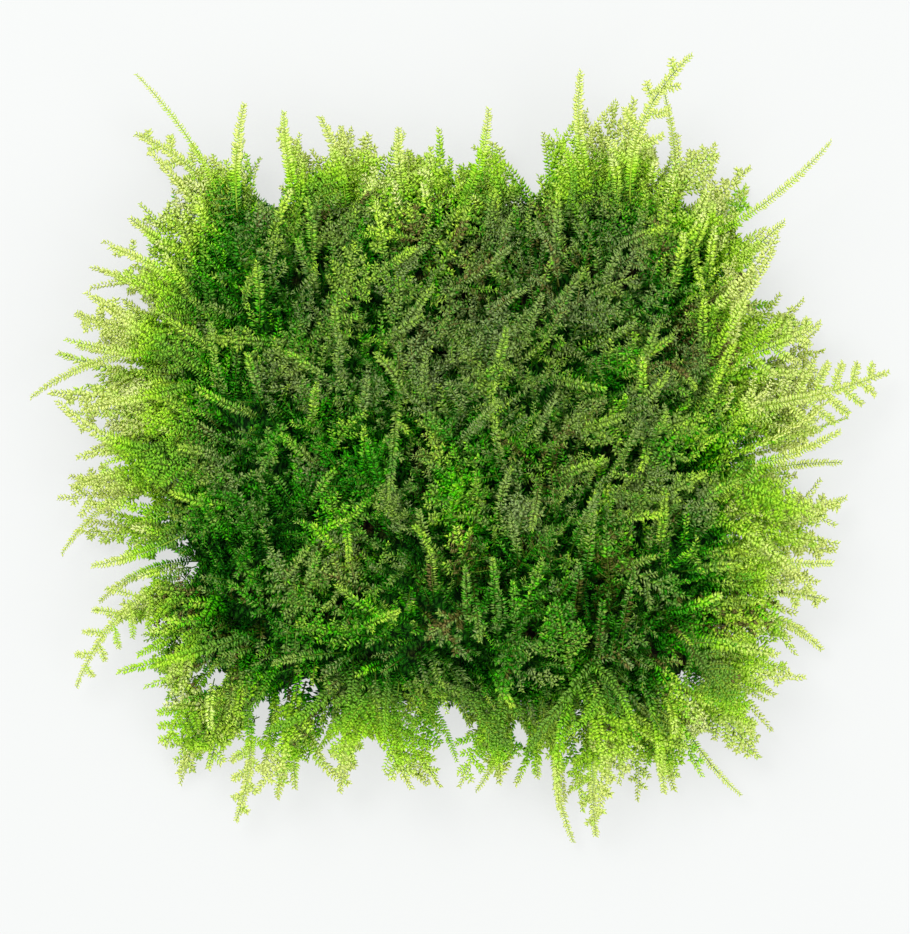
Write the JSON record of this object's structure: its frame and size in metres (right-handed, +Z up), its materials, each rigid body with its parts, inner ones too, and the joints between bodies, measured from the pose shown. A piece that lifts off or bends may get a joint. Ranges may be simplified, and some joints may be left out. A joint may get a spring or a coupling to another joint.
{
  "type": "moss clump",
  "caption": "Square-cornered cushion of feathery water moss with a flat cut underside and long leafy shoots and fronds all round its rim.",
  "frame": {"origin": "middle of the flat cut underside of the mat", "axes": "+Z up out of the mat's top, +X to the right and +Y to the back as the clump is seen from above, +X along its longer spread"},
  "size_m": [0.1161, 0.106, 0.0224],
  "materials": {
    "mat_moss": "soft dark green moss leaves with a faint wet sheen",
    "shoot_moss": "young yellow-green moss leaves that let light through"
  },
  "bodies": {
    "root": {"moss_mat": "mat_moss", "back_shoot_1": "shoot_moss", "back_shoot_2": "shoot_moss", "back_shoot_3": "shoot_moss", "back_shoot_4": "shoot_moss", "back_shoot_5": "shoot_moss", "back_shoot_6": "shoot_moss", "back_shoot_7": "shoot_moss", "back_shoot_8": "shoot_moss", "back_frond_1": "shoot_moss", "back_frond_2": "shoot_moss", "right_shoot_1": "shoot_moss", "right_shoot_2": "shoot_moss", "right_shoot_3": "shoot_moss", "right_shoot_4": "shoot_moss", "right_shoot_5": "shoot_moss", "right_shoot_6": "shoot_moss", "right_shoot_7": "shoot_moss", "right_frond_1": "shoot_moss", "right_frond_2": "shoot_moss", "right_frond_3": "shoot_moss", "right_frond_4": "shoot_moss", "right_frond_5": "shoot_moss", "right_frond_6": "shoot_moss", "right_frond_7": "shoot_moss", "front_shoot_1": "shoot_moss", "front_shoot_2": "shoot_moss", "front_shoot_3": "shoot_moss", "front_shoot_4": "shoot_moss", "front_shoot_5": "shoot_moss", "front_shoot_6": "shoot_moss", "front_shoot_7": "shoot_moss", "front_shoot_8": "shoot_moss", "front_shoot_9": "shoot_moss", "front_frond_1": "shoot_moss", "front_frond_2": "shoot_moss", "front_frond_3": "shoot_moss", "front_frond_4": "shoot_moss", "left_shoot_1": "shoot_moss", "left_shoot_2": "shoot_moss", "left_shoot_3": "shoot_moss", "left_shoot_4": "shoot_moss", "left_shoot_5": "shoot_moss", "left_shoot_6": "shoot_moss", "left_shoot_7": "shoot_moss", "left_shoot_8": "shoot_moss", "left_frond_1": "shoot_moss", "left_frond_2": "shoot_moss", "left_frond_3": "shoot_moss", "left_frond_4": "shoot_moss"}
  },
  "joints": []
}
